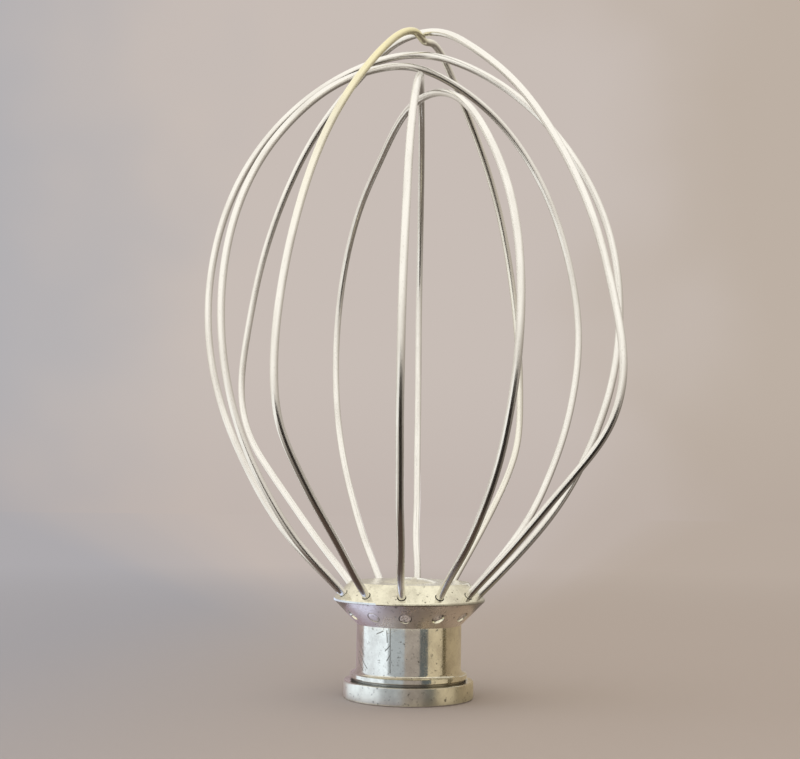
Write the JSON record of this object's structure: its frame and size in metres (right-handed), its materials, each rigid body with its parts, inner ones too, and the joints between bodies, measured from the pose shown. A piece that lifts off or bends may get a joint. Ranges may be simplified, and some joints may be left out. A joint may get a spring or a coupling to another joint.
{
  "type": "stand mixer wire whisk",
  "caption": "Balloon-shaped stand mixer whisk: nested bent wire loops staked into a flared metal hub with a bored socket and pin slot for the drive shaft.",
  "frame": {"origin": "centre of the drive bore at the face of the base ring", "axes": "+Z along the hub axis, from the base ring towards the crowns of the wire loops; -Y is the front"},
  "size_m": [0.1138, 0.1128, 0.1804],
  "materials": {
    "hub": "polished cast and turned, worn",
    "wire": "drawn and polished"
  },
  "bodies": {
    "root": {"hub": "hub", "wire_loop_1": "wire", "wire_loop_2": "wire", "wire_loop_3": "wire", "wire_loop_4": "wire", "wire_loop_5": "wire", "wire_loop_6": "wire"}
  },
  "joints": []
}
